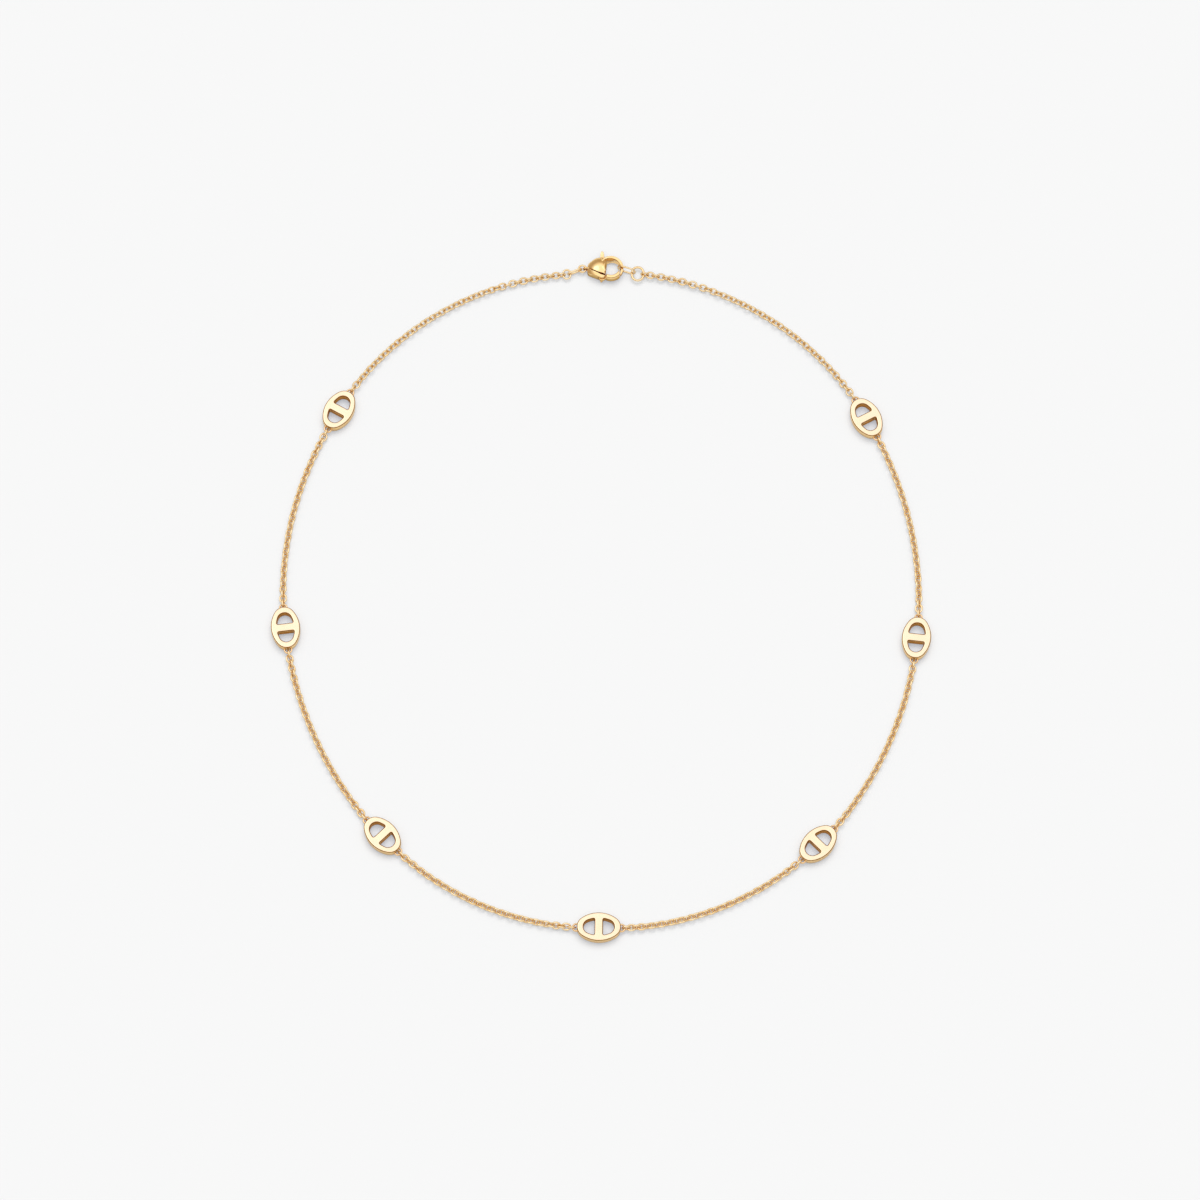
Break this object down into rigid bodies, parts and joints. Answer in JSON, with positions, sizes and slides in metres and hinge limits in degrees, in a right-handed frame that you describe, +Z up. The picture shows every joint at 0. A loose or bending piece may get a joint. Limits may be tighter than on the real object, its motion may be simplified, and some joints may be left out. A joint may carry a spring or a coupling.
{
  "type": "oval link chain necklace",
  "caption": "Fine gold-tone cable chain necklace with flat oval links, each with a bar across it, and a lobster clasp, lying closed on a surface.",
  "frame": {"origin": "centre of the bounding box at the surface that the necklace lies on", "axes": "+X to the right of the loop seen from above, +Y to the back where the clasp is, +Z up from the surface"},
  "size_m": [0.1424, 0.1578, 0.0026],
  "materials": {
    "oval_link": "polished, pale gold plating",
    "chain": "polished, gold plating",
    "clasp": "polished, warm gold plating",
    "ring": "polished, gold plating"
  },
  "bodies": {
    "necklace": {"oval_link_1": "oval_link", "oval_link_2": "oval_link", "oval_link_3": "oval_link", "oval_link_4": "oval_link", "oval_link_5": "oval_link", "oval_link_6": "oval_link", "oval_link_7": "oval_link", "chain_left_rear": "chain", "chain_1_2": "chain", "chain_2_3": "chain", "chain_3_4": "chain", "chain_4_5": "chain", "chain_5_6": "chain", "chain_6_7": "chain", "chain_right_rear": "chain", "clasp_body": "clasp", "clasp_rivet": "clasp", "tail_ring": "ring", "joining_link": "ring", "chain_ring": "ring", "catch_link": "ring", "end_ring": "ring"},
    "gate": {"clasp_lever": "clasp"}
  },
  "joints": [
    {"name": "gate_swing", "type": "hinge", "parent": "necklace", "child": "gate", "pos_m": [0.0004, 0.0728, 0.0013], "axis": [0, 0, 1], "range_deg": [0, 24], "stiffness_Nm_per_rad": 0.001, "springref_deg": -11.46}
  ]
}
